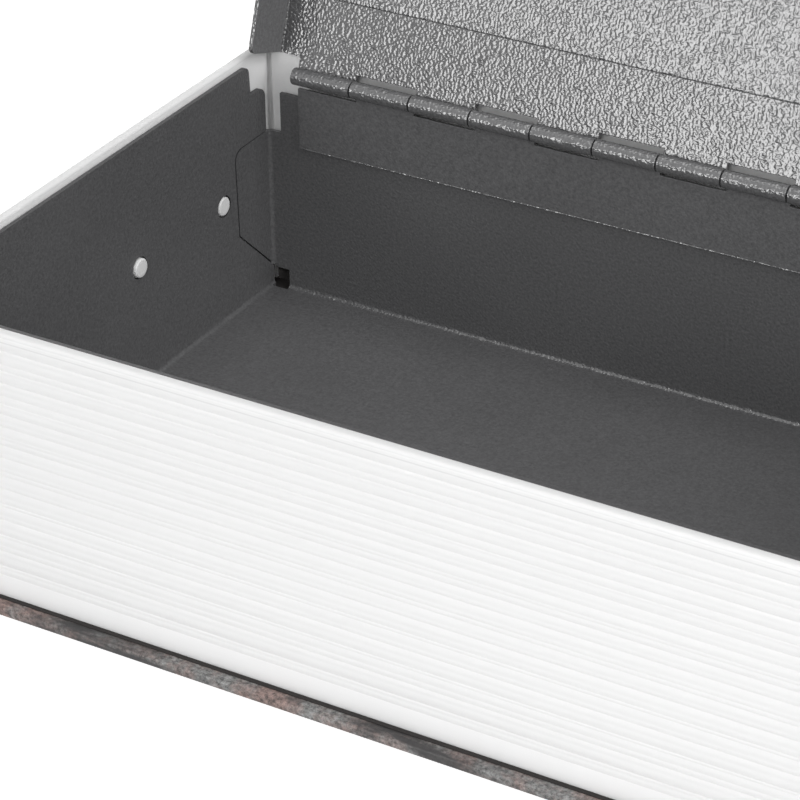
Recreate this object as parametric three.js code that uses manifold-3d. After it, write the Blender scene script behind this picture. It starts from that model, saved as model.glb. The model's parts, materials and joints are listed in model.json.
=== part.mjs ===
// Book diversion safe: a steel cash box with an inset hinged lid and a cam lock, set in a moulded page block
// and bound between cover boards. Millimetres, +Z up, X along the spine, +Y towards the spine.
// The origin is the centre of the underside of the back board. The safe stands open.

import * as THREE from 'three';
import { mergeVertices } from 'three/addons/utils/BufferGeometryUtils.js';
import Module from 'manifold-3d';

const wasm = await Module();
wasm.setup();

// Steel tray, inside sizes
const sheet = 0.8;
const trayLength = 179.0;
const trayWidth = 111.2;
const wallHeight = 49.5;
const backWallDrop = 8.3;
const endWallDrop = 0.9;
const trayBend = 0.8;

// Folded corners of the tray: the long walls end in tabs that lie flush in cut-outs of the end walls
const tabSeam = 0.34;
const tabHeight = 33.1;
const tabReach = 11.8;
const tabTaper = 0.5;
const tabCorner = 2.2;
const tabFoot = 4.2;
const tabSlopeTop = 15.2;
const reliefSide = 3.3;
const reliefInset = 0.3;
const reliefHeight = 3.8;
const reliefDepth = 1.0;
const endWallSetback = 0.9;
const notchReach = 5.8;
const notchDepth = 6.1;
const notchLean = 0.3;
const notchRadius = 1.5;
const shelfRadius = 2.2;
const backWallNotch = 2.7;

// Page block
const rimProud = 0.5;
const pageGap = 0.3;
const headWall = 1.8;
const foreWall = 2.2;
const spineWall = 1.8;
const hingeChannel = 1.6;
const rimRadius = 0.6;
const blockCorner = 1.2;
const pageLines = 38;
const pageLineDepth = 0.11;
const pageLineWidth = 0.45;
const plainFoot = 3.4;
const innerGroove = 0.5;
const innerGrooveDepth = 1.3;
const cornerWindow = 12.0;
const cornerWindowHeight = 7.0;

// Pegs of the page block that hold the tray by its end walls
const pegRadius = 1.85;
const pegHeight = 23.7;
const pegHoleGap = 0.35;
const pegFromBack = 16.1;
const pegSpacing = 28.1;
const flushPeg = 0.1;
const proudPeg = 0.5;
const pegChamfer = 0.2;

// Case: three boards, a wrap over the spine and two linings
const boardThick = 1.8;
const liningThick = 0.2;
const liningInset = 5.0;
const liningShow = 0.8;
const headOverhang = 3.4;
const foreOverhang = 3.0;
const boardSetback = 0.7;
const spineGap = 0.3;
const spineShort = 0.8;
const wrapThick = 0.4;
const wrapLip = 1.4;
const coverClear = 0.3;
const coverOpen = 114;

// Piano hinge
const knucklePitch = 12.65;
const hingeMargin = 7.2;
const knuckleRadius = 1.65;
const leafThick = 0.65;
const pinRadius = 0.75;
const knuckleSeam = 0.3;
const leafReach = 15.4;
const hingeDrop = 3.5;
const knuckleRelief = 0.9;
const rollGap = 0.25;
const seat = 0.15;

// Lid
const lidOpen = 109;
const lidEndClear = 1.8;
const lidBackReach = 3.5;
const lidFrontClear = 2.4;
const flangeDepth = 11.4;
const lidBend = 0.5;
const flangeEndRadius = 1.5;
const flangeSlit = 0.4;

// Cam lock
const lockFromFront = 16.0;
const barrelRadius = 8.0;
const barrelFlat = 7.2;
const barrelLength = 15.8;
const bezelRadius = 10.5;
const bezelThick = 0.8;
const lockGap = 0.3;
const plugRadius = 5.3;
const plugHead = 6.4;
const plugHeadThick = 1.6;
const keywayWidth = 1.8;
const keywayLength = 7.6;
const washerThick = 0.8;
const washerRadius = 10.8;
const nutAcross = 21.0;
const nutThick = 4.0;
const wafers = 5;
const waferPitch = 1.9;
const waferThick = 0.6;
const waferWidth = 5.0;
const waferHeight = 6.2;
const waferFoot = 2.0;
const waferWindow = 2.8;
const waferWindowHeight = 4.2;
const waferStep = 0.25;
const springRadius = 0.4;
const springLength = 2.4;
const tailSide = 5.6;
const camThick = 1.6;
const camReach = 15.5;
const camWidth = 11.5;
const camTip = 3.0;
const screwHeadRadius = 3.6;
const screwHeadThick = 1.5;
const screwRadius = 1.4;
const screwSlot = 0.7;

// Strike bracket in the fore wall of the tray
const strikeWidth = 26.0;
const strikeThick = 1.2;
const strikeDrop = 12.0;
const strikeEngage = 4.0;
const strikeClear = 0.5;
const strikeBend = 1.0;

// Levels
const zBlock = boardThick + liningThick;
const zFloor = zBlock + sheet;
const zWall = zFloor + wallHeight;
const zBackWall = zWall - backWallDrop;
const zEndWall = zWall - endWallDrop;
const zRim = zWall + rimProud;
const zHinge = zRim - hingeDrop;
const zCover = zRim + coverClear;

// Distances from the middle along the spine
const xWall = trayLength / 2;
const xBlockInner = xWall + sheet + pageGap;
const xBlock = xBlockInner + headWall;
const xBoard = xBlock + headOverhang;
const xLid = xWall - lidEndClear;

// Distances from the middle across the book
const boardDepth = foreOverhang + foreWall + pageGap + sheet + trayWidth + sheet + hingeChannel + spineWall - boardSetback;
const yBoard = boardDepth / 2;
const yBlockFore = -yBoard + foreOverhang;
const yFore = yBlockFore + foreWall + pageGap + sheet;
const yBack = yFore + trayWidth;
const yBlockInnerBack = yBack + sheet + hingeChannel;
const yBlockBack = yBlockInnerBack + spineWall;
const ySpine = yBlockBack + spineGap;
const yHinge = yBack - knuckleRadius - seat;
const yCover = yBlockBack - coverClear;

const turn = THREE.MathUtils.degToRad;

const paint = { color: 0x4b4c4e, roughness: 0.55, metalness: 0.25 };
const plated = { color: 0xb9bbbd, roughness: 0.28, metalness: 0.9 };
const brass = { color: 0xb08d4a, roughness: 0.35, metalness: 0.9 };
const plastic = { color: 0xf3f3f1, roughness: 0.5, metalness: 0 };
const wrapPaper = { color: 0x4a3f3b, roughness: 0.6, metalness: 0 };
const liningPaper = { color: 0x2c2624, roughness: 0.8, metalness: 0 };

// Solids

function solidOf(geometry) {
  const bare = geometry.clone();
  bare.deleteAttribute('normal');
  bare.deleteAttribute('uv');
  const merged = mergeVertices(bare, 1e-5);
  return new wasm.Manifold(new wasm.Mesh({
    numProp: 3,
    vertProperties: new Float32Array(merged.attributes.position.array),
    triVerts: new Uint32Array(merged.index.array),
  }));
}

function geometryOf(solid) {
  const mesh = solid.getMesh();
  const geometry = new THREE.BufferGeometry();
  geometry.setAttribute('position', new THREE.BufferAttribute(mesh.vertProperties, 3));
  geometry.setIndex(new THREE.BufferAttribute(mesh.triVerts, 1));
  geometry.computeVertexNormals();
  return geometry;
}

function joined(solids) {
  return solids.reduce((all, next) => all.add(next));
}

function box(x0, x1, y0, y1, z0, z1) {
  const geometry = new THREE.BoxGeometry(x1 - x0, y1 - y0, z1 - z0);
  geometry.translate((x0 + x1) / 2, (y0 + y1) / 2, (z0 + z1) / 2);
  return solidOf(geometry);
}

function outline(points) {
  return new THREE.Shape(points.map(([a, b]) => new THREE.Vector2(a, b)));
}

function extruded(shape, depth, curveSegments = 5) {
  return new THREE.ExtrudeGeometry(shape, { depth, bevelEnabled: false, curveSegments });
}

// The profile lies in Y and Z and runs along X
function alongX(shape, x0, x1, curveSegments) {
  const geometry = extruded(shape, x1 - x0, curveSegments);
  geometry.applyMatrix4(new THREE.Matrix4().makeBasis(
    new THREE.Vector3(0, 1, 0), new THREE.Vector3(0, 0, 1), new THREE.Vector3(1, 0, 0)));
  geometry.translate(x0, 0, 0);
  return solidOf(geometry);
}

// The profile lies in X and Z and runs along Y
function alongY(shape, y0, y1, curveSegments) {
  const geometry = extruded(shape, y1 - y0, curveSegments);
  geometry.rotateX(Math.PI / 2);
  geometry.translate(0, y1, 0);
  return solidOf(geometry);
}

// The profile lies in X and Y and runs along Z
function alongZ(shape, z0, z1, curveSegments) {
  const geometry = extruded(shape, z1 - z0, curveSegments);
  geometry.translate(0, 0, z0);
  return solidOf(geometry);
}

function disc(radius, segments = 32) {
  const points = [];
  for (let i = 0; i < segments; i++) {
    const a = (i / segments) * 2 * Math.PI;
    points.push([radius * Math.cos(a), radius * Math.sin(a)]);
  }
  return outline(points);
}

// A rectangle whose corners, taken anticlockwise from the low left one, have the four given radii
function rounded(a0, a1, b0, b1, radii) {
  const [r0, r1, r2, r3] = radii;
  const shape = new THREE.Shape();
  shape.moveTo(a0 + r0, b0);
  shape.lineTo(a1 - r1, b0);
  if (r1) shape.absarc(a1 - r1, b0 + r1, r1, -Math.PI / 2, 0, false);
  shape.lineTo(a1, b1 - r2);
  if (r2) shape.absarc(a1 - r2, b1 - r2, r2, 0, Math.PI / 2, false);
  shape.lineTo(a0 + r3, b1);
  if (r3) shape.absarc(a0 + r3, b1 - r3, r3, Math.PI / 2, Math.PI, false);
  shape.lineTo(a0, b0 + r0);
  if (r0) shape.absarc(a0 + r0, b0 + r0, r0, Math.PI, Math.PI * 1.5, false);
  return shape;
}

function mirroredX(solid) {
  return solid.add(solid.mirror([1, 0, 0]));
}

const safe = new THREE.Group();

function piece(name, solid, look, parent = safe) {
  const mesh = new THREE.Mesh(geometryOf(solid), new THREE.MeshStandardMaterial(look));
  mesh.name = name;
  parent.add(mesh);
  return mesh;
}

// Pages: a moulded shell, open above and below, with shallow lines on its three page sides

// The page lines are unevenly spaced, as the leaves of a real book are
function pageLevels() {
  const levels = [[zBlock, 0]];
  const top = zRim - rimRadius - pageLineWidth;
  const pitch = (top - zBlock - plainFoot) / pageLines;
  for (let i = 0; i < pageLines; i++) {
    const wander = 0.22 * Math.sin(i * 2.4) + 0.13 * Math.sin(i * 5.1 + 1);
    const z = zBlock + plainFoot + pitch * (i + 0.5 + wander);
    const depth = pageLineDepth * (0.65 + 0.35 * Math.sin(i * 3.7));
    levels.push([z - pageLineWidth / 2, 0], [z, -depth], [z + pageLineWidth / 2, 0]);
  }
  const steps = 4;
  for (let i = 0; i <= steps; i++) {
    const a = (i / steps) * (Math.PI / 2);
    levels.push([zRim - rimRadius * (1 - Math.sin(a)), -rimRadius * (1 - Math.cos(a))]);
  }
  return levels;
}

// One closed course of the shell: its page sides stand out by the given amount and the spine side stays
function course(z, out, inner) {
  const x = inner ? xBlockInner - out : xBlock + out;
  const fore = inner ? yBlockFore + foreWall + out : yBlockFore - out;
  const back = inner ? yBlockInnerBack - out : yBlockBack + Math.min(out, 0) * (out <= -rimRadius ? 1 : 0);
  const r = inner ? 0.3 : blockCorner;
  const points = [];
  const corners = [[x - r, back - r, 0], [-x + r, back - r, 1], [-x + r, fore + r, 2], [x - r, fore + r, 3]];
  const steps = inner ? 1 : 3;
  for (const [cx, cy, quarter] of corners) {
    for (let i = 0; i <= steps; i++) {
      const a = (quarter + i / steps) * (Math.PI / 2);
      points.push([cx + r * Math.cos(a), cy + r * Math.sin(a), z]);
    }
  }
  return points;
}

function loftedPrism(courses) {
  const count = courses[0].length;
  const positions = courses.flat(2);
  const index = [];
  for (let k = 0; k + 1 < courses.length; k++) {
    for (let i = 0; i < count; i++) {
      const j = (i + 1) % count;
      const a = k * count + i;
      const b = k * count + j;
      index.push(a, b, b + count, a, b + count, a + count);
    }
  }
  const top = (courses.length - 1) * count;
  for (let i = 1; i + 1 < count; i++) {
    index.push(0, i + 1, i);
    index.push(top, top + i, top + i + 1);
  }
  const geometry = new THREE.BufferGeometry();
  geometry.setAttribute('position', new THREE.BufferAttribute(new Float32Array(positions), 3));
  geometry.setIndex(index);
  return solidOf(geometry);
}

function pegPlaces() {
  const back = yBack - pegFromBack;
  return [[back, flushPeg], [back - pegSpacing, proudPeg], [yFore + pegFromBack, flushPeg]];
}

function roundBarAlongX(radius, x0, x1, y, z, segments = 20) {
  const geometry = new THREE.CylinderGeometry(radius, radius, x1 - x0, segments);
  geometry.rotateZ(Math.PI / 2);
  geometry.translate((x0 + x1) / 2, y, z);
  return solidOf(geometry);
}

// A narrow groove down each inner corner of the shell, cut in along the diagonal
function cornerGrooves() {
  const fore = yBlockFore + foreWall;
  const outlineOfSlot = rounded(-innerGroove, innerGroove, -1, innerGrooveDepth, [0, 0, innerGroove, innerGroove]);
  const slot = alongZ(outlineOfSlot, zBlock - 1, zRim + 1);
  const places = [[yBlockInnerBack, -45], [fore, -135]].map(([y, heading]) =>
    slot.rotate([0, 0, heading]).translate([xBlockInner, y, 0]));
  return mirroredX(joined(places));
}

// The spine side stands clear of the back board at both its ends
function cornerWindows() {
  return mirroredX(box(xBlockInner - cornerWindow, xBlockInner + innerGroove, yBlockInnerBack - innerGroove,
    yBlockBack + 1, zBlock - 1, zBlock + cornerWindowHeight));
}

function pageBlock() {
  const outer = loftedPrism(pageLevels().map(([z, out]) => course(z, out, false)));
  const bore = [course(zBlock - 1, 0, true), course(zRim - rimRadius, 0, true)];
  for (let i = 1; i <= 3; i++) {
    const a = (i / 3) * (Math.PI / 2);
    bore.push(course(zRim - rimRadius * (1 - Math.sin(a)), -rimRadius * (1 - Math.cos(a)), true));
  }
  bore.push(course(zRim + 1, -rimRadius, true));
  const shell = outer.subtract(loftedPrism(bore)).subtract(cornerGrooves()).subtract(cornerWindows());
  const pegs = pegPlaces().map(([y, proud]) => {
    const root = xBlockInner + 0.5;
    const tip = xWall - proud;
    const stem = roundBarAlongX(pegRadius, tip + pegChamfer, root, y, zFloor + pegHeight);
    const nose = new THREE.CylinderGeometry(pegRadius, pegRadius - pegChamfer, pegChamfer, 20);
    nose.rotateZ(-Math.PI / 2);
    nose.translate(tip + pegChamfer / 2, y, zFloor + pegHeight);
    return stem.add(solidOf(nose));
  });
  return shell.add(mirroredX(joined(pegs)));
}

// Steel tray: one folded blank

// Floor and long walls as one bent strip
function longStrip() {
  const r = trayBend;
  const R = trayBend + sheet;
  const shape = new THREE.Shape();
  shape.moveTo(yBack + sheet, zBackWall);
  shape.lineTo(yBack, zBackWall);
  shape.lineTo(yBack, zFloor + r);
  shape.absarc(yBack - r, zFloor + r, r, 0, -Math.PI / 2, true);
  shape.lineTo(yFore + r, zFloor);
  shape.absarc(yFore + r, zFloor + r, r, -Math.PI / 2, -Math.PI, true);
  shape.lineTo(yFore, zWall);
  shape.lineTo(yFore - sheet, zWall);
  shape.lineTo(yFore - sheet, zFloor + r);
  shape.absarc(yFore + r, zFloor + r, R, Math.PI, Math.PI * 1.5, false);
  shape.lineTo(yBack - r, zFloor - sheet);
  shape.absarc(yBack - r, zFloor + r, R, -Math.PI / 2, 0, false);
  return alongX(shape, -xWall + trayBend, xWall - trayBend);
}

// Floor and end walls as one bent strip
function shortStrip() {
  const r = trayBend;
  const R = trayBend + sheet;
  const shape = new THREE.Shape();
  shape.moveTo(xWall, zEndWall);
  shape.lineTo(xWall, zFloor + r);
  shape.absarc(xWall - r, zFloor + r, r, 0, -Math.PI / 2, true);
  shape.lineTo(-xWall + r, zFloor);
  shape.absarc(-xWall + r, zFloor + r, r, -Math.PI / 2, -Math.PI, true);
  shape.lineTo(-xWall, zEndWall);
  shape.lineTo(-xWall - sheet, zEndWall);
  shape.lineTo(-xWall - sheet, zFloor + r);
  shape.absarc(-xWall + r, zFloor + r, R, Math.PI, Math.PI * 1.5, false);
  shape.lineTo(xWall - r, zFloor - sheet);
  shape.absarc(xWall - r, zFloor + r, R, -Math.PI / 2, 0, false);
  shape.lineTo(xWall + sheet, zEndWall);
  return alongY(shape, yFore - tabSeam / 2, yBack + tabSeam / 2);
}

// The outline of a tab in depth from its long wall and height, grown by half a seam or shrunk by it
function tabPoints(grow, root) {
  const rise = (tabSlopeTop - tabFoot) / (tabReach - tabTaper);
  const drop = grow * Math.hypot(1, rise);
  const slope = (depth) => tabFoot + rise * Math.max(depth, 0) - drop;
  const reach = tabReach + grow;
  const top = tabHeight + grow;
  const points = [[root, slope(root)]];
  if (root < 0) points.push([0, slope(0)]);
  points.push([reach - tabTaper, slope(reach - tabTaper)]);
  const steps = 4;
  for (let i = 0; i <= steps; i++) {
    const a = (i / steps) * (Math.PI / 2);
    points.push([reach - tabCorner * (1 - Math.cos(a)), top - tabCorner * (1 - Math.sin(a))]);
  }
  points.push([root, top]);
  return points;
}

function tabOutline(side, grow, root) {
  const wall = side > 0 ? yBack : yFore;
  return outline(tabPoints(grow, root).map(([depth, z]) => [wall - side * depth, zFloor + z]));
}

// What is cut from each end wall: the beds of its two tabs, and the ends above them
function endWallCuts() {
  const x0 = xWall - trayBend - 1;
  const x1 = xWall + sheet + 1;
  const top = zFloor + tabHeight;
  const foreEnd = box(x0, x1, yFore - 2, yFore + endWallSetback, top, zWall + 1);
  const backEnd = box(x0, x1, yBack - endWallSetback, yBack + 2, top, zWall + 1);
  const beds = [1, -1].map((side) => alongX(tabOutline(side, tabSeam / 2, -2), x0, x1));
  return mirroredX(joined([foreEnd, backEnd, ...beds, hingeNotch(x0, x1)]));
}

// The stepped cut-away at the hinge end of an end wall
function hingeNotch(x0, x1) {
  const shelf = zEndWall - notchDepth;
  const edge = yBack - notchReach;
  const back = yBack - endWallSetback;
  const r = notchRadius;
  const R = shelfRadius;
  const shape = new THREE.Shape();
  shape.moveTo(back + 3, zWall + 1);
  shape.lineTo(edge - notchLean - r, zWall + 1);
  shape.lineTo(edge - notchLean - r, zEndWall);
  shape.absarc(edge - notchLean - r, zEndWall - r, r, Math.PI / 2, 0, true);
  shape.lineTo(edge, shelf);
  shape.lineTo(back - R, shelf);
  shape.absarc(back - R, shelf - R, R, Math.PI / 2, 0, true);
  shape.lineTo(back + 3, shelf - R);
  return alongX(shape, x0, x1);
}

// A corner tab with its bend, at the +X end of the long wall on the given side
function cornerTab(side) {
  const r = trayBend;
  const cx = xWall - r;
  const cy = (side > 0 ? yBack : yFore) - side * r;
  const bend = new THREE.Shape();
  bend.moveTo(cx, cy + side * r);
  bend.absarc(cx, cy, r, side * Math.PI / 2, 0, side > 0);
  bend.lineTo(cx + r + sheet, cy);
  bend.absarc(cx, cy, r + sheet, 0, side * Math.PI / 2, side < 0);
  return alongX(tabOutline(side, -tabSeam / 2, r - 0.01), xWall, xWall + sheet)
    .add(alongZ(bend, zFloor + tabFoot + tabSeam / 2, zFloor + tabHeight - tabSeam / 2));
}

// The long walls stop short of the end walls above the tabs
function longWallEnds() {
  const x = xWall - backWallNotch;
  const high = zFloor + tabHeight - tabSeam / 2;
  const back = box(x, xWall + 1, yBack - 0.5, yBack + sheet + 1, high, zWall + 1);
  const fore = box(x, xWall + 1, yFore - sheet - 1, yFore + 0.5, high, zWall + 1);
  return mirroredX(back.add(fore));
}

// Square reliefs where three folds meet
function cornerReliefs() {
  const x1 = xWall - reliefInset;
  const x0 = x1 - reliefSide;
  const z0 = zFloor - sheet - 1;
  const z1 = zFloor + reliefHeight;
  const back = box(x0, x1, yBack - reliefDepth, yBack + sheet + 1, z0, z1);
  const fore = box(x0, x1, yFore - sheet - 1, yFore + reliefDepth, z0, z1);
  return mirroredX(back.add(fore));
}

function pegHoles() {
  const holes = pegPlaces().map(([y]) =>
    roundBarAlongX(pegRadius + pegHoleGap, xWall - 3, xWall + sheet + 1, y, zFloor + pegHeight));
  return mirroredX(joined(holes));
}

function steelTray() {
  const tabs = mirroredX(cornerTab(1).add(cornerTab(-1)));
  return longStrip().add(shortStrip().subtract(endWallCuts())).add(tabs)
    .subtract(longWallEnds()).subtract(cornerReliefs()).subtract(pegHoles());
}

// Piano hinge, in coordinates whose origin is the hinge axis: u runs out along a leaf and v is square to it

const hingeLength = trayLength - 2 * hingeMargin;
const knuckles = Math.floor(hingeLength / knucklePitch + 1e-6);
const knuckleStart = -knuckles * knucklePitch / 2;

function knuckleSpan(i) {
  const first = i === 0 ? 0 : knuckleSeam / 2;
  const last = i === knuckles - 1 ? 0 : knuckleSeam / 2;
  return [knuckleStart + i * knucklePitch + first, knuckleStart + (i + 1) * knucklePitch - last];
}

// A leaf rolled round the pin, whose lip stops short of its own flat
function rolledKnuckle(u) {
  const R = knuckleRadius;
  const r = knuckleRadius - leafThick;
  const segments = 16;
  const sweep = 1.5 * Math.PI - Math.asin((rollGap - r) / R);
  const points = [[u, -R]];
  for (let i = 0; i <= segments; i++) {
    const a = -Math.PI / 2 - (i / segments) * sweep;
    points.push([R * Math.cos(a), R * Math.sin(a)]);
  }
  for (let i = segments; i >= 0; i--) {
    const a = -Math.PI / 2 - (i / segments) * sweep;
    points.push([r * Math.cos(a), r * Math.sin(a)]);
  }
  points.push([u, -r]);
  return points;
}

// One leaf with every second knuckle; place carries the profile's u and v to Y and Z
function hingeLeaf(firstKnuckle, relief, place) {
  const root = knuckleRadius + relief;
  const flat = outline([
    [root, -knuckleRadius], [leafReach, -knuckleRadius], [leafReach, leafThick - knuckleRadius], [root, leafThick - knuckleRadius],
  ].map(place));
  let leaf = alongX(flat, knuckleStart, -knuckleStart);
  const roll = outline(rolledKnuckle(root + 0.2).map(place));
  for (let i = firstKnuckle; i < knuckles; i += 2) {
    const [x0, x1] = knuckleSpan(i);
    leaf = leaf.add(alongX(roll, x0, x1));
  }
  return leaf;
}

function hingePin() {
  const half = -knuckleStart - 0.4;
  return roundBarAlongX(pinRadius, -half, half, yHinge, zHinge, 12);
}

// Lid: a shallow folded pan, in closed coordinates whose origin is the hinge axis

const lidInner = knuckleRadius + seat;
const lidOuter = lidInner + sheet;
const lidFront = yFore + lidFrontClear - yHinge;
const lidEdge = lidOuter - flangeDepth;
const lockAt = lidFront + lockFromFront;

function panSolid(inset, edge, back, radius) {
  const fore = lidFront + inset;
  const top = lidOuter - inset;
  const x = xLid - inset;
  const low = edge === lidEdge ? flangeEndRadius : 0;
  const side = alongX(rounded(fore, back, edge, top, [0, low, 0, radius]), -x, x);
  const front = alongY(rounded(-x, x, edge, top, [0, 0, radius, radius]), fore, back);
  return side.intersect(front);
}

function doubleD(radius, flat) {
  const shape = new THREE.Shape();
  const a = Math.acos(flat / radius);
  shape.moveTo(flat, -radius * Math.sin(a));
  shape.lineTo(flat, radius * Math.sin(a));
  shape.absarc(0, 0, radius, a, Math.PI - a, false);
  shape.lineTo(-flat, -radius * Math.sin(a));
  shape.absarc(0, 0, radius, Math.PI + a, 2 * Math.PI - a, false);
  return shape;
}

function steelLid() {
  const pan = panSolid(0, lidEdge, -lidBackReach, lidBend + sheet)
    .subtract(panSolid(sheet, lidEdge - 1, -lidBackReach + 1, lidBend));
  const hole = alongZ(doubleD(barrelRadius + lockGap, barrelFlat + lockGap), lidInner - 1, lidOuter + 1, 10)
    .translate([0, lockAt, 0]);
  // The flanges meet at the front corners without a weld
  const slit = box(xLid - sheet - 0.1 - flangeSlit, xLid - sheet - 0.1, lidFront - 1, lidFront + sheet + 0.1,
    lidEdge - 1, lidInner - lidBend - 0.6);
  return pan.subtract(hole).subtract(mirroredX(slit));
}

// Cam lock, in coordinates whose origin is on the lid's outer face, with Z pointing out of the box

const barrelEnd = -barrelLength;
const bezelTop = seat + bezelThick;
const plugFace = bezelTop - 0.05;
const camTop = barrelEnd - lockGap;
const camFoot = camTop - camThick;

function lockHousing() {
  const bezel = alongZ(disc(bezelRadius, 40), seat, bezelTop - 0.25)
    .add(alongZ(disc(bezelRadius - 0.35, 40), bezelTop - 0.3, bezelTop));
  const barrel = alongZ(doubleD(barrelRadius, barrelFlat), barrelEnd, seat + 0.1, 10);
  const bore = alongZ(disc(plugRadius + lockGap), barrelEnd - 1, bezelTop + 1);
  const counterbore = alongZ(disc(plugHead + lockGap), plugFace - plugHeadThick - lockGap, bezelTop + 1);
  return bezel.add(barrel).subtract(bore).subtract(counterbore);
}

function waferLevel(i) {
  return plugFace - plugHeadThick - 1.6 - i * waferPitch;
}

function lockPlug() {
  const head = alongZ(disc(plugHead), plugFace - plugHeadThick, plugFace);
  const body = alongZ(disc(plugRadius), barrelEnd, plugFace - 0.5);
  const tail = box(-tailSide / 2, tailSide / 2, -tailSide / 2, tailSide / 2, camFoot + 0.3, barrelEnd + 0.5);
  const deep = waferLevel(wafers - 1) - waferThick - 1;
  let plug = head.add(body).add(tail)
    .subtract(box(-keywayWidth / 2, keywayWidth / 2, -keywayLength / 2, keywayLength / 2, deep, plugFace + 1))
    .subtract(alongZ(disc(screwRadius + lockGap, 12), camFoot - 1, barrelEnd + 2.5));
  for (let i = 0; i < wafers; i++) {
    const top = waferLevel(i) + lockGap;
    const half = waferWidth / 2 + lockGap;
    plug = plug.subtract(box(-half, half, -plugRadius - 1, plugRadius + 1, top - waferThick - 2 * lockGap, top));
  }
  return plug;
}

// A brass wafer with its window for the key; each stands at its own height
function wafer(i) {
  const z = waferLevel(i);
  const foot = waferStep * Math.sin(i * 2.1) - waferFoot;
  const sill = foot + (waferHeight - waferWindowHeight) / 2;
  return box(-waferWidth / 2, waferWidth / 2, foot, foot + waferHeight, z - waferThick, z)
    .subtract(box(-waferWindow / 2, waferWindow / 2, sill, sill + waferWindowHeight, z - waferThick - 1, z + 1));
}

function waferSpring(i) {
  const geometry = new THREE.CylinderGeometry(springRadius, springRadius, springLength, 8);
  geometry.translate(0, -waferFoot - waferStep - lockGap - springLength / 2, waferLevel(i) - waferThick / 2);
  return solidOf(geometry);
}

function lockWasher() {
  const top = -sheet - seat;
  return alongZ(disc(washerRadius), top - washerThick, top)
    .subtract(alongZ(disc(barrelRadius + lockGap), top - washerThick - 1, top + 1));
}

function lockNut() {
  const top = -sheet - washerThick - 2 * seat;
  const hex = disc(nutAcross / 2 / Math.cos(Math.PI / 6), 6);
  return alongZ(hex, top - nutThick, top).subtract(alongZ(disc(barrelRadius + lockGap), top - nutThick - 1, top + 1));
}

// The cam points along X when the lock is open
function lockCam() {
  const shape = new THREE.Shape();
  const w = camWidth / 2;
  shape.absarc(0, 0, w, Math.PI / 2, Math.PI * 1.5, false);
  shape.lineTo(w, -w);
  shape.lineTo(camReach - 1.5, -camTip);
  shape.lineTo(camReach, -camTip + 1.5);
  shape.lineTo(camReach, camTip - 1.5);
  shape.lineTo(camReach - 1.5, camTip);
  shape.lineTo(w, w);
  const hole = tailSide / 2 + lockGap;
  return alongZ(shape, camFoot, camTop, 12).subtract(box(-hole, hole, -hole, hole, camFoot - 1, camTop + 1));
}

function camScrew() {
  const top = camFoot - lockGap;
  const foot = top - screwHeadThick;
  return alongZ(disc(screwHeadRadius, 20), foot, top)
    .add(alongZ(disc(screwRadius, 12), top - 0.5, barrelEnd + 1.5))
    .subtract(box(-screwHeadRadius - 1, screwHeadRadius + 1, -screwSlot / 2, screwSlot / 2, foot - 1, foot + 0.6));
}

// Strike bracket: the closed lid's cam turns under its ledge

function strikeBracket() {
  const camClosed = zHinge + lidOuter + camTop;
  const foot = camClosed + strikeClear;
  const wall = yFore + seat;
  const tip = yHinge + lockAt - camReach + strikeEngage;
  const r = strikeBend;
  const R = r + strikeThick;
  const shape = new THREE.Shape();
  shape.moveTo(wall, foot - strikeDrop);
  shape.lineTo(wall + strikeThick, foot - strikeDrop);
  shape.lineTo(wall + strikeThick, foot - r);
  shape.absarc(wall + R, foot - r, r, Math.PI, Math.PI / 2, true);
  shape.lineTo(tip, foot);
  shape.lineTo(tip, foot + strikeThick);
  shape.lineTo(wall + R, foot + strikeThick);
  shape.absarc(wall + R, foot - r, R, Math.PI / 2, Math.PI, false);
  return alongX(shape, -strikeWidth / 2, strikeWidth / 2);
}

// Case

function spineWrap() {
  const inner = ySpine + boardThick + seat;
  const r = inner - yBoard - spineGap;
  const R = r + wrapThick;
  const cy = inner - r;
  const top = zRim - spineShort;
  const lean = 0.25;
  const shape = new THREE.Shape();
  shape.moveTo(cy, 0);
  shape.absarc(cy, R, R, -Math.PI / 2, 0, false);
  shape.lineTo(inner + wrapThick, top);
  shape.lineTo(inner + wrapThick + lean, top + wrapLip);
  shape.lineTo(inner + lean, top + wrapLip);
  shape.lineTo(inner, top);
  shape.lineTo(inner, R);
  shape.absarc(cy, R, r, 0, -Math.PI / 2, true);
  return alongX(shape, -xBoard, xBoard, 6);
}

// The object

piece('page_block', pageBlock(), plastic);
piece('steel_tray', steelTray(), paint);

piece('box_hinge_leaf', hingeLeaf(1, knuckleRelief + 0.45, ([u, v]) => [-v, -u]).translate([0, yHinge, zHinge]), paint);
piece('hinge_pin', hingePin(), plated);
piece('strike_bracket', strikeBracket(), paint);

const liningX = xBlock + liningShow;
piece('back_board', box(-xBoard, xBoard, -yBoard, yBoard, 0, boardThick), wrapPaper);
piece('back_lining', box(-liningX, liningX, yBlockFore - liningShow, yBoard, boardThick, zBlock), liningPaper);
piece('spine_board',
  box(-xBoard, xBoard, ySpine, ySpine + boardThick, zBlock + spineShort + coverClear, zRim - spineShort), wrapPaper);
piece('spine_wrap', spineWrap(), wrapPaper);

const lid = new THREE.Group();
lid.position.set(0, yHinge, zHinge);
lid.rotation.x = -turn(lidOpen);
safe.add(lid);

piece('steel_lid', steelLid(), paint, lid);
piece('lid_hinge_leaf', hingeLeaf(0, knuckleRelief, ([u, v]) => [-u, -v]), paint, lid);

const lock = new THREE.Group();
lock.position.set(0, lockAt, lidOuter);
lid.add(lock);

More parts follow.
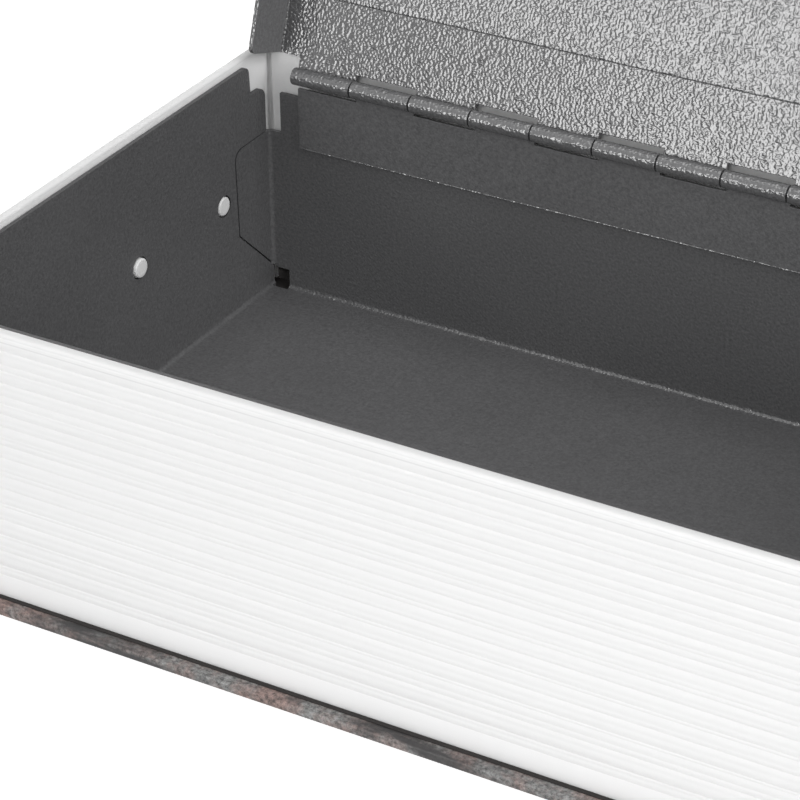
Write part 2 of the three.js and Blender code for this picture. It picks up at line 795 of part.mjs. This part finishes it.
piece('lock_housing', lockHousing(), plated, lock);
piece('lock_washer', lockWasher(), plated, lock);
piece('lock_nut', lockNut(), plated, lock);
piece('lock_plug', lockPlug(), plated, lock);
for (let i = 0; i < wafers; i++) {
  piece(`lock_wafer_${i + 1}`, wafer(i), brass, lock);
  piece(`wafer_spring_${i + 1}`, waferSpring(i), plated, lock);
}
piece('lock_cam', lockCam(), plated, lock);
piece('cam_screw', camScrew(), plated, lock);

const cover = new THREE.Group();
cover.position.set(0, yCover, zCover);
cover.rotation.x = -turn(coverOpen);
safe.add(cover);

const boardBack = yBoard - yCover;
const boardFore = -yBoard - yCover;
const boardFoot = liningThick + seat;
piece('front_board', box(-xBoard, xBoard, boardFore, boardBack, boardFoot, boardFoot + boardThick), wrapPaper, cover);
piece('front_lining',
  box(-xBoard + liningInset, xBoard - liningInset, boardFore + liningInset, boardBack - liningInset, 0, liningThick),
  liningPaper, cover);

export default safe;
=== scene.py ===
"""Looks for the book diversion safe: painted steel, moulded pages, wrapped case, light, camera."""

import json
from math import pi, radians

import bmesh
import bpy
from mathutils import Matrix, Vector, noise


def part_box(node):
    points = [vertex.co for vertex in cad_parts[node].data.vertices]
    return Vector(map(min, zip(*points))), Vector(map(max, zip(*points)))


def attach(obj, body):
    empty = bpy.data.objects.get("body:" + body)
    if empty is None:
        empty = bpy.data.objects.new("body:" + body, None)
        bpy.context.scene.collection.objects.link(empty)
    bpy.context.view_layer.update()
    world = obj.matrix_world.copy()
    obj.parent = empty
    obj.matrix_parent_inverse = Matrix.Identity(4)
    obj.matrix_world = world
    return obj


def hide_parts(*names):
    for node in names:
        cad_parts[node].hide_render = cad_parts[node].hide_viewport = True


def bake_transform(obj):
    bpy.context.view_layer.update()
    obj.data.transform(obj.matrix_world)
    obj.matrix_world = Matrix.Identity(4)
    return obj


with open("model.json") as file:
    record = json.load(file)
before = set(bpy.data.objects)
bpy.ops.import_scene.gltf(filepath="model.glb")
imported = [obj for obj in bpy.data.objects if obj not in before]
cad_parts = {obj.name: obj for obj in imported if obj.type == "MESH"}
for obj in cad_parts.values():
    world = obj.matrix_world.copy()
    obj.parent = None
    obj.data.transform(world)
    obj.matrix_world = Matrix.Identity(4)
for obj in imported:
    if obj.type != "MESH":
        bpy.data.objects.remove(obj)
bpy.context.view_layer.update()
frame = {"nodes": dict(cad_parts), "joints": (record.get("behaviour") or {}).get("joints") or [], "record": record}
nodes = frame["nodes"]
record = frame["record"]
MM = 0.001

body_of = {node: body for body, members in record["behaviour"]["bodies"].items() for node in members}
joints = {row["name"]: row for row in frame["joints"]}


# Colour and shader helpers

def linear(hex_code):
    """An sRGB hex colour as linear red, green, blue and alpha."""
    channels = [int(hex_code[i:i + 2], 16) / 255 for i in (1, 3, 5)]
    return [c / 12.92 if c <= 0.04045 else ((c + 0.055) / 1.055) ** 2.4 for c in channels] + [1.0]


def add(tree, kind, settings=(), links=()):
    """Adds a shader node; a setting's key is a property or an input, a link's key is an input."""
    node = tree.nodes.new(kind)
    for key, value in dict(settings).items():
        if isinstance(key, int) or key in node.inputs:
            node.inputs[key].default_value = value
        else:
            setattr(node, key, value)
    for key, source in dict(links).items():
        tree.links.new(source, node.inputs[key])
    return node


def new_material(name):
    """An empty material: its tree, its output node and its object coordinates."""
    material = bpy.data.materials.new(name)
    material.use_nodes = True
    tree = material.node_tree
    tree.nodes.clear()
    place = add(tree, "ShaderNodeTexCoord").outputs["Object"]
    output = add(tree, "ShaderNodeOutputMaterial")
    return material, tree, place, output


def per_metre(size_mm):
    """The noise scale whose features are about this many millimetres across."""
    return 1000 / size_mm


# Grey powder coat baked on sheet steel: an orange peel that breaks every highlight into dots and
# short worms. Its real grit is about half as wide, and is drawn coarser so that it shows.
def powder_coat(name, peel_mm, depth_mm, grit_depth_mm, colour, paler, roughness, specular):
    material, tree, place, output = new_material(name)
    peel = add(tree, "ShaderNodeTexNoise",
               {"Scale": per_metre(peel_mm), "Detail": 0.0, "Distortion": 0.1}, {"Vector": place})
    grit = add(tree, "ShaderNodeTexNoise", {"Scale": per_metre(0.3), "Detail": 1.0}, {"Vector": place})
    cloud = add(tree, "ShaderNodeTexNoise", {"Scale": per_metre(25), "Detail": 3.0}, {"Vector": place})
    speck = add(tree, "ShaderNodeTexNoise", {"Scale": per_metre(0.6), "Detail": 2.0, "Roughness": 0.8},
                {"Vector": place})
    tone = add(tree, "ShaderNodeMix", {"data_type": "RGBA", 6: linear(colour), 7: linear(paler)},
               {0: cloud.outputs["Fac"]})
    fleck = add(tree, "ShaderNodeMix", {"data_type": "RGBA", "blend_type": "OVERLAY", 0: 0.6},
                {6: tone.outputs[2], 7: speck.outputs["Fac"]})
    coarse = add(tree, "ShaderNodeBump", {"Strength": 1.0, "Distance": depth_mm * MM},
                 {"Height": peel.outputs["Fac"]})
    fine = add(tree, "ShaderNodeBump", {"Strength": 1.0, "Distance": grit_depth_mm * MM},
               {"Height": grit.outputs["Fac"], "Normal": coarse.outputs["Normal"]})
    surface = add(tree, "ShaderNodeBsdfPrincipled",
                  {"Roughness": roughness, "IOR": 1.5, "Specular IOR Level": specular},
                  {"Base Color": fleck.outputs[2], "Normal": fine.outputs["Normal"]})
    tree.links.new(surface.outputs["BSDF"], output.inputs["Surface"])
    return material


# White ABS, injection-moulded: satin, with faint streaks along its page lines
def page_plastic(name, colour, paler, streak_depth_mm):
    material, tree, place, output = new_material(name)
    along = add(tree, "ShaderNodeMapping", {"Scale": (8, 8, per_metre(1.1))}, {"Vector": place})
    streak = add(tree, "ShaderNodeTexNoise", {"Scale": 1.0, "Detail": 2.0, "Roughness": 0.6},
                 {"Vector": along.outputs["Vector"]})
    grain = add(tree, "ShaderNodeTexNoise", {"Scale": per_metre(0.5), "Detail": 2.0}, {"Vector": place})
    tone = add(tree, "ShaderNodeMix", {"data_type": "RGBA", 6: linear(colour), 7: linear(paler)},
               {0: streak.outputs["Fac"]})
    lines = add(tree, "ShaderNodeBump", {"Strength": 1.0, "Distance": streak_depth_mm * MM},
                {"Height": streak.outputs["Fac"]})
    bump = add(tree, "ShaderNodeBump", {"Strength": 1.0, "Distance": 0.008 * MM},
               {"Height": grain.outputs["Fac"], "Normal": lines.outputs["Normal"]})
    surface = add(tree, "ShaderNodeBsdfPrincipled",
                  {"Roughness": 0.55, "IOR": 1.53, "Specular IOR Level": 0.2, "Subsurface Weight": 0.6,
                   "Subsurface Radius": (1.0, 1.0, 1.0), "Subsurface Scale": 1.5 * MM},
                  {"Base Color": tone.outputs[2], "Normal": bump.outputs["Normal"]})
    tree.links.new(surface.outputs["BSDF"], output.inputs["Surface"])
    return material


# Offset-printed paper under a matt film: speckled stone grey and brown fading into charcoal, a
# generic print
def printed_wrap():
    material, tree, place, output = new_material("matt_laminated_printed_paper")
    long = add(tree, "ShaderNodeMapping", {"Scale": (per_metre(30), per_metre(11), per_metre(11))},
               {"Vector": place})
    cloud = add(tree, "ShaderNodeTexNoise",
                {"Scale": 1.0, "Detail": 5.0, "Roughness": 0.6, "Distortion": 0.5},
                {"Vector": long.outputs["Vector"]})
    shore = add(tree, "ShaderNodeMapRange", {"From Min": 0.4, "From Max": 0.5},
                {"Value": cloud.outputs["Fac"]})
    warm = add(tree, "ShaderNodeTexNoise", {"Scale": per_metre(7), "Detail": 4.0, "Roughness": 0.7},
               {"Vector": place})
    rust = add(tree, "ShaderNodeMapRange", {"From Min": 0.4, "From Max": 0.6},
               {"Value": warm.outputs["Fac"]})
    rock = add(tree, "ShaderNodeMix", {"data_type": "RGBA", 6: linear("#7a6863"), 7: linear("#787877")},
               {0: rust.outputs["Result"]})
    mottle = add(tree, "ShaderNodeTexNoise", {"Scale": per_metre(0.9), "Detail": 4.0, "Roughness": 0.8},
                 {"Vector": place})
    spread = add(tree, "ShaderNodeMapRange",
                 {"From Min": 0.36, "From Max": 0.68, "To Min": 0.12, "To Max": 0.95},
                 {"Value": mottle.outputs["Fac"]})
    grained = add(tree, "ShaderNodeMix", {"data_type": "RGBA", "blend_type": "OVERLAY", 0: 1.0},
                  {6: rock.outputs[2], 7: spread.outputs["Result"]})
    dusk = add(tree, "ShaderNodeMix", {"data_type": "RGBA", 6: linear("#232324"), 7: linear("#403d3d")},
               {0: spread.outputs["Result"]})
    printed = add(tree, "ShaderNodeMix", {"data_type": "RGBA"},
                  {0: shore.outputs["Result"], 6: dusk.outputs[2], 7: grained.outputs[2]})
    fibre = add(tree, "ShaderNodeTexNoise", {"Scale": per_metre(0.6), "Detail": 2.0}, {"Vector": place})
    bump = add(tree, "ShaderNodeBump", {"Strength": 1.0, "Distance": 0.01 * MM},
               {"Height": fibre.outputs["Fac"]})
    surface = add(tree, "ShaderNodeBsdfPrincipled", {"Roughness": 0.48, "IOR": 1.48},
                  {"Base Color": printed.outputs[2], "Normal": bump.outputs["Normal"]})
    tree.links.new(surface.outputs["BSDF"], output.inputs["Surface"])
    return material


# Dark uncoated lining paper, pasted down: matt, with a felt of fibres
def lining_paper():
    material, tree, place, output = new_material("dark_uncoated_lining_paper")
    felt = add(tree, "ShaderNodeTexNoise", {"Scale": per_metre(0.8), "Detail": 5.0, "Roughness": 0.7},
               {"Vector": place})
    tone = add(tree, "ShaderNodeMix", {"data_type": "RGBA", 6: linear("#1e1c1b"), 7: linear("#302d2c")},
               {0: felt.outputs["Fac"]})
    bump = add(tree, "ShaderNodeBump", {"Strength": 1.0, "Distance": 0.03 * MM},
               {"Height": felt.outputs["Fac"]})
    surface = add(tree, "ShaderNodeBsdfPrincipled", {"Roughness": 0.9, "IOR": 1.45},
                  {"Base Color": tone.outputs[2], "Normal": bump.outputs["Normal"]})
    tree.links.new(surface.outputs["BSDF"], output.inputs["Surface"])
    return material


# Bare or plated metal: rolled, turned or stamped, with fine scratches that vary its gloss
def bare_metal(name, colour, roughness, scratch_mm):
    material, tree, place, output = new_material(name)
    across = per_metre(scratch_mm)
    drawn = add(tree, "ShaderNodeMapping", {"Scale": (per_metre(12), across, across)},
                {"Vector": place})
    scratch = add(tree, "ShaderNodeTexNoise", {"Scale": 1.0, "Detail": 4.0},
                  {"Vector": drawn.outputs["Vector"]})
    tarnish = add(tree, "ShaderNodeTexNoise", {"Scale": per_metre(6), "Detail": 3.0}, {"Vector": place})
    gloss = add(tree, "ShaderNodeMapRange", {"To Min": roughness * 0.75, "To Max": roughness * 1.3},
                {"Value": tarnish.outputs["Fac"]})
    bump = add(tree, "ShaderNodeBump", {"Strength": 0.6, "Distance": 0.01 * MM},
               {"Height": scratch.outputs["Fac"]})
    surface = add(tree, "ShaderNodeBsdfPrincipled", {"Base Color": linear(colour), "Metallic": 1.0},
                  {"Roughness": gloss.outputs["Result"], "Normal": bump.outputs["Normal"]})
    tree.links.new(surface.outputs["BSDF"], output.inputs["Surface"])
    return material


# The same powder lies flat on the tray, thin on edges and flanges, and peeled on the lid and knuckles. The darker
# edge coat is painted shade in the seams and on the top edges, and the lighter flange and leaf coats are painted
# light
tray_paint = powder_coat("smooth_grey_powder_coat", 0.5, 0.07, 0.012, "#575758", "#616162", 0.45, 0.5)
edge_shade_paint = powder_coat("thin_grey_powder_coat_painted_shade", 0.5, 0.03, 0.01, "#444445", "#4d4d4e", 0.5, 0.4)
# Painted light: a lighter copy of the coat for the inside of the lid's flanges
flange_light_paint = powder_coat("satin_grey_powder_coat_painted_light", 0.6, 0.03, 0.012, "#6a6a6b", "#737374", 0.5, 0.5)
lid_paint = powder_coat("orange_peel_grey_powder_coat", 0.5, 0.1, 0.003, "#474748", "#505051",
                        0.18, 1.0)
# Painted light: a lighter copy of the tray's coat for the box's hinge leaf
leaf_light_paint = powder_coat("fine_grey_powder_coat_painted_light", 0.45, 0.06, 0.01, "#5d5d5e", "#676768", 0.42, 0.5)
knuckle_paint = powder_coat("coarse_peel_grey_powder_coat", 0.5, 0.14, 0.004, "#5a5a5b", "#646465",
                            0.2, 1.0)

# One white moulding, streaked along its pages and smooth on its rim, and a greyer copy of it for the rim's upward
# faces: painted shade that tones down the light from above
pages = page_plastic("moulded_white_ABS", "#ebebeb", "#eeeeee", 0.004)
rim_shaded_plastic = page_plastic("smooth_white_ABS_painted_shade", "#e0e0e0", "#e2e2e2", 0.002)

# The case and the lock
wrap = printed_wrap()
lining = lining_paper()
zinc_plate = bare_metal("dull_zinc_plated_steel", "#86888a", 0.45, 0.2)
nickel_plate = bare_metal("satin_nickel_plated_zinc_casting", "#918f8b", 0.4, 0.3)
brass = bare_metal("stamped_brass", "#b89455", 0.32, 0.2)


# Piece helpers

def new_piece(bm, name, material):
    """An object from a bmesh, smooth except where faces meet at more than 32 degrees."""
    for face in bm.faces:
        face.smooth = True
    mesh = bpy.data.meshes.new(name)
    bm.to_mesh(mesh)
    bm.free()
    mesh.set_sharp_from_angle(angle=radians(32))
    mesh.materials.append(material)
    obj = bpy.data.objects.new(name, mesh)
    bpy.context.scene.collection.objects.link(obj)
    return obj


def soften(obj, width_mm, segments):
    """A live bevel that rounds the edges, as paint, moulding or deburring does."""
    bevel = obj.modifiers.new("rounded_edges", "BEVEL")
    bevel.width = width_mm * MM
    bevel.segments = segments
    bevel.limit_method = "ANGLE"
    bevel.angle_limit = radians(34)
    bevel.harden_normals = True
    bevel.use_clamp_overlap = True


def stand_for(obj, node):
    """The piece takes a CAD node's place and body."""
    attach(obj, body_of[node])
    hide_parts(node)


def finished_copy(node, name, material, width_mm, segments=2):
    """A merged copy of a CAD node, its edges rounded to about the given width."""
    bm = bmesh.new()
    bm.from_mesh(nodes[node].data)
    bmesh.ops.remove_doubles(bm, verts=bm.verts, dist=0.01 * MM)
    bmesh.ops.dissolve_limit(bm, angle_limit=radians(0.4), verts=bm.verts, edges=bm.edges,
                             use_dissolve_boundaries=False)
    obj = new_piece(bm, name, material)
    soften(obj, width_mm, segments)
    stand_for(obj, node)
    return obj


def refinish(obj, material, test):
    """Gives another finish to the faces that pass a test of their centre and normal."""
    obj.data.materials.append(material)
    for face in obj.data.polygons:
        if test(face.center, face.normal):
            face.material_index = len(obj.data.materials) - 1


# Pages, tray, lid and hinge

# Painted shade: the upward faces of the smooth rim take a greyer copy of the white, which tones down the light
# that falls on top
page_block = finished_copy("page_block", "page_block_moulding", pages, 0.25)
rim_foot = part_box("page_block")[1][2] - 3 * MM
refinish(page_block, rim_shaded_plastic, lambda centre, normal: centre.z > rim_foot and normal.z > 0.05)
finished_copy("strike_bracket", "strike_bracket_painted", tray_paint, 0.2)
finished_copy("hinge_pin", "hinge_pin_domed", zinc_plate, 0.2)

# The coat runs thick in the bend along the foot of the spine-side wall
tray = finished_copy("steel_tray", "tray_painted", tray_paint, 0.24, 3)
tray_low, tray_high = (Vector(corner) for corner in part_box("steel_tray"))
half_sheet = 0.4 * MM


def on_spine_side_bend(centre, normal):
    """True where a face of the tray's foot turns from the floor to the spine-side wall."""
    at_foot = centre.z < tray_low.z + 5 * half_sheet and centre.y > 0.05
    return at_foot and normal.y * normal.z < -0.1


refinish(tray, knuckle_paint, on_spine_side_bend)


# The coat draws back thin from the sheared edges. Its darker colour there, in the seams, the holes and along the
# walls' top edges, is painted shade
def on_sheared_edge(centre, normal):
    """True where a face lies within the thickness of an upright wall."""
    inside_end = abs(abs(centre.x) - tray_high.x + half_sheet) < 0.9 * half_sheet
    inside_spine = abs(centre.y - tray_high.y + half_sheet) < 0.9 * half_sheet
    inside_fore = abs(centre.y - tray_low.y - half_sheet) < 0.9 * half_sheet
    inside_long = inside_spine or inside_fore
    return (inside_end and abs(normal.x) < 0.5) or (inside_long and abs(normal.y) < 0.5)


refinish(tray, edge_shade_paint, on_sheared_edge)

# The coat is thin and even inside the lid's flanges, and lighter there: painted light
lid_pan = finished_copy("steel_lid", "lid_painted", lid_paint, 0.16)
refinish(lid_pan, flange_light_paint,
         lambda centre, normal: normal.x * centre.x < 0 and abs(normal.x) > 0.9)

# The leaves are coated with what carries them, and the coat lies thicker on their rolled knuckles. The box's leaf
# takes a lighter copy of the tray's coat, which is painted light
hinge_axis = Vector(joints["lid_hinge"]["pos_m"])
knuckle_reach = 2.2 * MM
for leaf, coat in (("box_hinge_leaf", leaf_light_paint), ("lid_hinge_leaf", lid_paint)):
    refinish(finished_copy(leaf, f"{leaf}_painted", coat, 0.12), knuckle_paint,
             lambda centre, normal: (centre - hinge_axis).yz.length < knuckle_reach)


def paint_bead():
    """The coat gathers in an uneven bead along the lower edge of the box's hinge leaf."""
    low, high = (Vector(corner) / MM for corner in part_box("box_hinge_leaf"))
    core = Vector((0, high.y - 0.58, low.z + 0.04))
    reach = high.x - 0.3
    radius, lumps = 0.22, 399
    bm = bmesh.new()
    bmesh.ops.create_cone(bm, cap_ends=True, cap_tris=False, segments=8, radius1=radius,
                          radius2=radius, depth=2 * reach,
                          matrix=Matrix.Translation(core) @ Matrix.Rotation(pi / 2, 4, "Y"))
    long = [edge for edge in bm.edges if abs(edge.verts[0].co.x - edge.verts[1].co.x) > reach]
    bmesh.ops.subdivide_edges(bm, edges=long, cuts=lumps, use_grid_fill=True)
    for vert in bm.verts:
        lump = 0.75 + 0.7 * noise.noise(Vector((vert.co.x * 0.9, 0, 0)))
        vert.co.yz = core.yz + (vert.co.yz - core.yz) * lump
    bmesh.ops.scale(bm, vec=(MM, MM, MM), verts=bm.verts)
    bmesh.ops.recalc_face_normals(bm, faces=bm.faces)
    obj = new_piece(bm, "leaf_paint_bead", knuckle_paint)
    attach(obj, "box")


paint_bead()


# Case: wrapped boards, linings and the wrap over the spine

finished_copy("back_board", "back_board_wrapped", wrap, 0.45, 3)
finished_copy("front_board", "front_board_wrapped", wrap, 0.45, 3)
spine_stiffener = finished_copy("spine_board", "spine_board_wrapped", wrap, 0.4, 3)
refinish(spine_stiffener, lining, lambda centre, normal: normal.y < -0.9)
finished_copy("back_lining", "back_lining_paper", lining, 0.06)
finished_copy("front_lining", "front_lining_paper", lining, 0.06)


def case_wrap():
    """One sheet from under the back board, round its foot and up the spine, to the front joint."""
    axis = Vector(joints["cover_hinge"]["pos_m"]).yz / MM
    low, high = (Vector(corner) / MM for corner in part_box("spine_board"))
    back = high.y + 0.52
    turn = 3.02
    # Each row is a line along the spine, given by its place across it and its height
    rows = [Vector((back - turn - 1.2, 0.3)), Vector((back - turn - 0.25, 0.03))]
    for step in range(7):
        out = Matrix.Rotation(radians(15 * step), 2) @ Vector((0, -turn))
        rows.append(Vector((back - turn, turn + 0.03)) + out)
    rows.append(Vector((back, (low.z + high.z) / 2)))
    # The fold is given from the cover's axis
    fold = [(2.96, -3.0), (2.98, -1.6), (3.06, -1.2), (3.13, -0.8), (3.18, -0.4), (3.18, 0),
            (3.08, 0.35), (2.9, 0.68), (3.21, 1.42), (3.7, 2.73), (3.83, 3.55)]
    rows += [axis + Vector(point) for point in fold]
    bm = bmesh.new()
    verts = [bm.verts.new((low.x * MM, y * MM, z * MM)) for y, z in rows]
    edges = [bm.edges.new(pair) for pair in zip(verts, verts[1:])]
    made = bmesh.ops.extrude_edge_only(bm, edges=edges)["geom"]
    far = [part for part in made if isinstance(part, bmesh.types.BMVert)]
    bmesh.ops.translate(bm, vec=((high.x - low.x) * MM, 0, 0), verts=far)
    bm.normal_update()
    if sum(face.normal.y for face in bm.faces) < 0:
        bmesh.ops.reverse_faces(bm, faces=bm.faces)
    obj = new_piece(bm, "case_wrap", wrap)
    paper = obj.modifiers.new("paper_thickness", "SOLIDIFY")
    paper.thickness = 0.2 * MM
    paper.offset = -1
    # The lining paper runs on over the inside of the joint
    obj.data.materials.append(lining)
    paper.material_offset = 1
    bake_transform(obj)
    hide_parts("spine_wrap")


case_wrap()


# Cam lock

finished_copy("lock_housing", "lock_housing_cast", nickel_plate, 0.2, 3)
finished_copy("lock_plug", "lock_plug_turned", nickel_plate, 0.15)
finished_copy("lock_nut", "lock_nut_chamfered", nickel_plate, 0.45)
finished_copy("lock_washer", "lock_washer_stamped", zinc_plate, 0.15)
finished_copy("lock_cam", "lock_cam_stamped", zinc_plate, 0.3)
finished_copy("cam_screw", "cam_screw_slotted", zinc_plate, 0.25, 3)
for i in range(1, 6):
    finished_copy(f"lock_wafer_{i}", f"lock_wafer_{i}_stamped", brass, 0.06, 1)

lock_centre = Vector(joints["lock_turn"]["pos_m"])
lock_out = -Vector(joints["lock_turn"]["axis"])
side = Vector((1, 0, 0))


def barrel_thread():
    """Threads on the two round sides of the lock's barrel, cut off by its flats."""
    inner, root, crest, flat = 7.6, 7.85, 8.2, 7.22
    pitch = 1.0
    depth = -15.6
    line = [(depth, inner), (depth, root)]
    while depth < -1.2:
        line += [(depth + pitch / 2, crest), (depth + pitch, root)]
        depth += pitch
    line.append((depth, inner))
    bm = bmesh.new()
    verts = [bm.verts.new(lock_centre + (lock_out * d + side * r) * MM) for d, r in line]
    edges = [bm.edges.new(pair) for pair in zip(verts, verts[1:] + verts[:1])]
    bmesh.ops.spin(bm, geom=verts + edges, cent=lock_centre, axis=lock_out, dvec=(0, 0, 0),
                   angle=2 * pi, steps=72, use_merge=True, use_normal_flip=False, use_duplicate=False)
    bmesh.ops.remove_doubles(bm, verts=bm.verts, dist=0.001 * MM)
    for way in (1, -1):
        bmesh.ops.bisect_plane(bm, geom=bm.verts[:] + bm.edges[:] + bm.faces[:], dist=0,
                               plane_co=side * way * flat * MM, plane_no=side * way, clear_outer=True)
    bmesh.ops.holes_fill(bm, edges=[edge for edge in bm.edges if edge.is_boundary], sides=0)
    bmesh.ops.recalc_face_normals(bm, faces=bm.faces)
    obj = new_piece(bm, "lock_barrel_thread", nickel_plate)
    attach(obj, "lid")


def wafer_spring(node, name):
    """A coil of fine wire under a wafer."""
    low, high = (Vector(corner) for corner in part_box(node))
    along = lock_out.cross(side).normalized()
    length, coil, wire, turns, steps = 2.4 * MM, 0.32 * MM, 0.08 * MM, 6, 12
    start = (low + high) / 2 - along * (length / 2 - wire)
    bm = bmesh.new()
    facing = along.cross(side).to_track_quat("Z", "Y").to_matrix().to_4x4()
    bmesh.ops.create_circle(bm, cap_ends=False, radius=wire, segments=6,
                            matrix=Matrix.Translation(start + side * coil) @ facing)
    rise = along * (length - 2 * wire) / (turns * steps)
    bmesh.ops.spin(bm, geom=bm.verts[:] + bm.edges[:], cent=start, axis=along, dvec=rise,
                   angle=2 * pi * turns, steps=turns * steps, use_merge=False, use_normal_flip=False,
                   use_duplicate=False)
    bmesh.ops.holes_fill(bm, edges=[edge for edge in bm.edges if edge.is_boundary], sides=0)
    bmesh.ops.recalc_face_normals(bm, faces=bm.faces)
    stand_for(new_piece(bm, name, zinc_plate), node)


barrel_thread()
for i in range(1, 6):
    wafer_spring(f"wafer_spring_{i}", f"wafer_spring_{i}_coiled")


# Floor and light

def floor():
    """A white paper sweep that looks white to the camera and in reflections, and keeps the shadow."""
    bm = bmesh.new()
    bmesh.ops.create_grid(bm, x_segments=1, y_segments=1, size=4.0)
    mesh = bpy.data.meshes.new("floor")
    bm.to_mesh(mesh)
    bm.free()
    obj = bpy.data.objects.new("floor", mesh)
    bpy.context.scene.collection.objects.link(obj)
    material, tree, _, output = new_material("white_paper_floor")
    paper = add(tree, "ShaderNodeBsdfPrincipled", {"Base Color": linear("#c8c8c8"), "Roughness": 0.9})
    path = add(tree, "ShaderNodeLightPath")
    seen = add(tree, "ShaderNodeMath", {"operation": "MAXIMUM"},
               {0: path.outputs["Is Camera Ray"], 1: path.outputs["Is Glossy Ray"]})
    lift = add(tree, "ShaderNodeMath", {"operation": "MULTIPLY", 1: 0.75}, {0: seen.outputs[0]})
    glow = add(tree, "ShaderNodeEmission", {"Color": linear("#ffffff")}, {"Strength": lift.outputs[0]})
    both = add(tree, "ShaderNodeAddShader", (), {0: paper.outputs["BSDF"], 1: glow.outputs["Emission"]})
    tree.links.new(both.outputs[0], output.inputs["Surface"])
    mesh.materials.append(material)


def softbox(name, place, target, size, radiance):
    """A rectangular lamp, its brightness in watts per square metre and steradian."""
    light = bpy.data.lights.new(name, "AREA")
    light.shape = "RECTANGLE"
    light.size, light.size_y = size
    light.energy = radiance * pi * size[0] * size[1]
    obj = bpy.data.objects.new(name, light)
    bpy.context.scene.collection.objects.link(obj)
    obj.location = place
    obj.rotation_euler = (Vector(target) - Vector(place)).to_track_quat("-Z", "Y").to_euler()


def studio(room_strength):
    """A dim room for light, and a white one to look at."""
    world = bpy.data.worlds.new("studio")
    bpy.context.scene.world = world
    world.use_nodes = True
    tree = world.node_tree
    tree.nodes.clear()
    room = add(tree, "ShaderNodeBackground", {"Color": linear("#ffffff"), "Strength": room_strength})
    seen = add(tree, "ShaderNodeBackground", {"Color": linear("#ffffff"), "Strength": 1.0})
    path = add(tree, "ShaderNodeLightPath")
    glossy = add(tree, "ShaderNodeMath", {"operation": "MAXIMUM"},
                 {0: path.outputs["Is Glossy Ray"], 1: path.outputs["Is Transmission Ray"]})
    direct = add(tree, "ShaderNodeMath", {"operation": "MAXIMUM"},
                 {0: path.outputs["Is Camera Ray"], 1: glossy.outputs[0]})
    mix = add(tree, "ShaderNodeMixShader", (),
              {0: direct.outputs[0], 1: room.outputs[0], 2: seen.outputs[0]})
    add(tree, "ShaderNodeOutputWorld", (), {"Surface": mix.outputs[0]})


floor()
studio(0.15)

# Each lamp: its place, the point it faces, its size in metres and its brightness
softbox("front_softbox", (-0.33, -1.13, 0.29), (0, 0.06, 0.1), (0.44, 0.45), 7.65)
softbox("camera_softbox", (0.3, -1.02, 0.72), (0, 0.03, 0.05), (0.5, 0.5), 6.1)
softbox("right_softbox", (1.0, -0.2, 0.75), (0, 0, 0.03), (0.7, 0.7), 5.1)
softbox("top_softbox", (0, 0.1, 1.3), (0, 0, 0.03), (0.9, 0.9), 2.35)
softbox("back_softbox", (-0.85, 0.75, 0.15), (0, 0, 0.05), (0.7, 0.25), 5.0)

# Camera at the photograph's angle
camera_data = bpy.data.cameras.new("camera")
camera_data.lens = 151.47
camera_data.sensor_width = 36.0
camera_data.clip_start = 0.01
camera = bpy.data.objects.new("camera", camera_data)
bpy.context.scene.collection.objects.link(camera)
camera.location = (0.22863, -0.42740, 0.31174)
heading = Matrix.Rotation(radians(30.905), 3, "Z")
look_down = Matrix.Rotation(radians(90 - 30.107), 3, "X")
roll = Matrix.Rotation(radians(-0.822), 3, "Z")
camera.rotation_euler = (heading @ look_down @ roll).to_euler()
bpy.context.scene.camera = camera
bpy.context.scene.view_settings.view_transform = "Standard"
